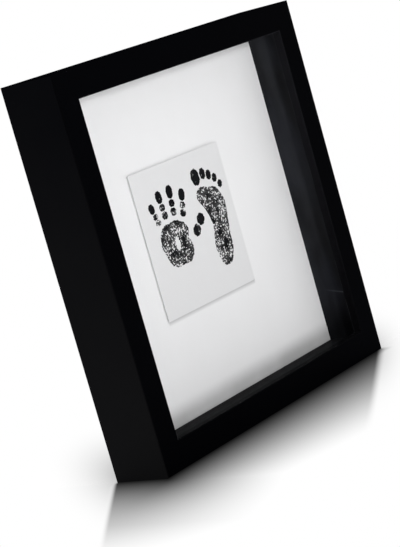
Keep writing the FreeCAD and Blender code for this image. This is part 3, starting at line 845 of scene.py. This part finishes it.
def floor_finish():
    """A white gloss floor that shows the frame's mirror image, fading away from its foot.

    In front the image is a drawn dark patch between two slanted lines: the right one is
    y = 0.568 x - 92.8 mm, and the left one leaves the back left corner at a slope of 0.745. Behind it
    is a true blurred mirror. A contact shade and two soft ovals lie round the patch.
    """
    right_slope, right_drop, left_slope = 0.568, 92.8 * MM, 0.745
    left_fade, corner_fade, right_fade, half_strength = 136 * MM, 90 * MM, 138 * MM, 0.495
    contact, contact_reach = 0.5, 85 * MM
    material = bpy.data.materials.new("white_floor")
    material.use_nodes = True
    tree = material.node_tree
    tree.nodes.clear()
    x, y, _ = parts_of(tree, place_on_piece(tree))
    gap = floor_gap(tree, x, y)

    # The mirror image's strength, and its two slanted borders
    fade_length = larger(tree, spread(tree, x, -200 * MM, -130 * MM, left_fade, corner_fade),
                         spread(tree, x, -130 * MM, 60 * MM, corner_fade, right_fade))
    faded = quotient(tree, gap, fade_length)
    strength = total(tree, spread(tree, faded, 0, 1, half_strength, 0),
                     spread(tree, faded, 0, 1, half_strength, 0, True))
    past_right = total(tree, difference(tree, y, product(tree, x, right_slope)), right_drop)
    cut = product(tree, spread(tree, past_right, -3 * MM, 5 * MM, 1, 0, True),
                  spread(tree, y, -30 * MM, -15 * MM, 1, 0))
    past_left = difference(tree, difference(tree, y, half_depth),
                           product(tree, total(tree, x, half_width), left_slope))
    inside = spread(tree, past_left, -1 * MM, 6 * MM, 1, 0, True)
    patch = product(tree, inside, spread(tree, y, half_depth - 2 * MM, half_depth + 2 * MM, 1, 0),
                    spread(tree, x, half_width - 2 * MM, half_width + 4 * MM, 1, 0))
    left_out = product(tree, rest_of(tree, inside),
                       spread(tree, x, -half_width - 4 * MM, -half_width, 1, 0))
    strength = product(tree, strength, rest_of(tree, cut), rest_of(tree, left_out))

    # The shade round the foot, apart from the patch
    shade = product(tree, spread(tree, gap, 0.0, contact_reach, contact, 0.0, True),
                    spread(tree, x, -120 * MM, -30 * MM, 0, 1),
                    spread(tree, x, -20 * MM, 130 * MM, 1, 0.65),
                    spread(tree, x, 127 * MM, 138 * MM, 1, 0), rest_of(tree, cut))
    by_left = soft_spot(tree, x, y, (-79.5 * MM, -87.2 * MM), (65.6 * MM, 159.2 * MM), -1.64, 0.81, 2.1)
    by_right = soft_spot(tree, x, y, (81.2 * MM, 73.6 * MM), (50.9 * MM, 177.2 * MM), 1.94, 0.88, 3.0)
    held = product(tree, patch, rest_of(tree, cut))
    shade = product(tree, larger(tree, shade, by_left, by_right), rest_of(tree, held))

    plain = put(tree, "ShaderNodeBsdfDiffuse", {0: (0.8, 0.8, 0.8, 1)})
    bright = put(tree, "ShaderNodeEmission", {0: (1, 1, 1, 1), 1: rest_of(tree, shade)})
    lit = put(tree, "ShaderNodeMixShader", {0: seen_ray(tree), 1: plain.outputs[0], 2: bright.outputs[0]})
    kept = product(tree, rest_of(tree, patch), rest_of(tree, shade))
    mirror = put(tree, "ShaderNodeBsdfGlossy", {0: tint(tree, kept, (0, 0, 0), (1, 1, 1)),
                                                "Roughness": 0.2})
    mixed = put(tree, "ShaderNodeMixShader", {0: strength, 1: lit.outputs[0], 2: mirror.outputs[0]})
    put(tree, "ShaderNodeOutputMaterial", {0: mixed.outputs[0]})
    return material


floor_reach, floor_drop = 6.0, 0.1 * MM
floor_mesh = bpy.data.meshes.new("floor")
floor_mesh.from_pydata([(-floor_reach, -floor_reach, 0), (floor_reach, -floor_reach, 0),
                        (floor_reach, floor_reach, 0), (-floor_reach, floor_reach, 0)], [], [(0, 1, 2, 3)])
floor = bpy.data.objects.new("floor", floor_mesh)
bpy.context.scene.collection.objects.link(floor)
floor.location.z = -floor_drop
floor_mesh.materials.append(floor_finish())

# The room is white to rays that show it, and gives less light than it shows
world = bpy.data.worlds.new("studio")
bpy.context.scene.world = world
world.use_nodes = True
tree = world.node_tree
tree.nodes.clear()
strength = spread(tree, seen_ray(tree), 0, 1, 0.33, 1.0)
sky = put(tree, "ShaderNodeBackground", {0: (1, 1, 1, 1), 1: strength})
put(tree, "ShaderNodeOutputWorld", {0: sky.outputs[0]})


def lamp(name, place, aim, size, power):
    """A soft square lamp that faces a point."""
    data = bpy.data.lights.new(name, "AREA")
    data.shape = "RECTANGLE"
    data.size, data.size_y = size
    data.energy = power
    made = bpy.data.objects.new(name, data)
    made.location = place
    made.rotation_euler = (Vector(place) - Vector(aim)).to_track_quat("Z", "Y").to_euler()
    bpy.context.scene.collection.objects.link(made)


lamp("key", (-1.05, -1.9, 0.42), (0, 0, 0.12), (0.7, 0.5), 27)
lamp("overhead", (-0.1, 0.35, 1.5), (-0.1, -0.15, 0), (1.4, 1.2), 28)
lamp("side", (-1.25, 0.95, 0.02), (0, 0, 0.05), (0.6, 0.22), 19)

# The camera leans by its roll, so the upright frame leans in the picture
upright = back.cross(level)
right = level * math.cos(roll) - upright * math.sin(roll)
up = back.cross(right)
aim = Vector((-10.5 * MM, 6.6 * MM, 98.7 * MM))
distance = 1243.5 * MM
place = aim + back * distance
camera_data = bpy.data.cameras.new("camera")
camera_data.sensor_width, camera_data.lens = 36, 126.8
camera_data.clip_start = 10 * MM
camera = bpy.data.objects.new("camera", camera_data)
camera.matrix_world = Matrix(((right.x, up.x, back.x, place.x), (right.y, up.y, back.y, place.y),
                              (right.z, up.z, back.z, place.z), (0, 0, 0, 1)))
bpy.context.scene.collection.objects.link(camera)
bpy.context.scene.camera = camera
bpy.context.scene.view_settings.view_transform = "Standard"
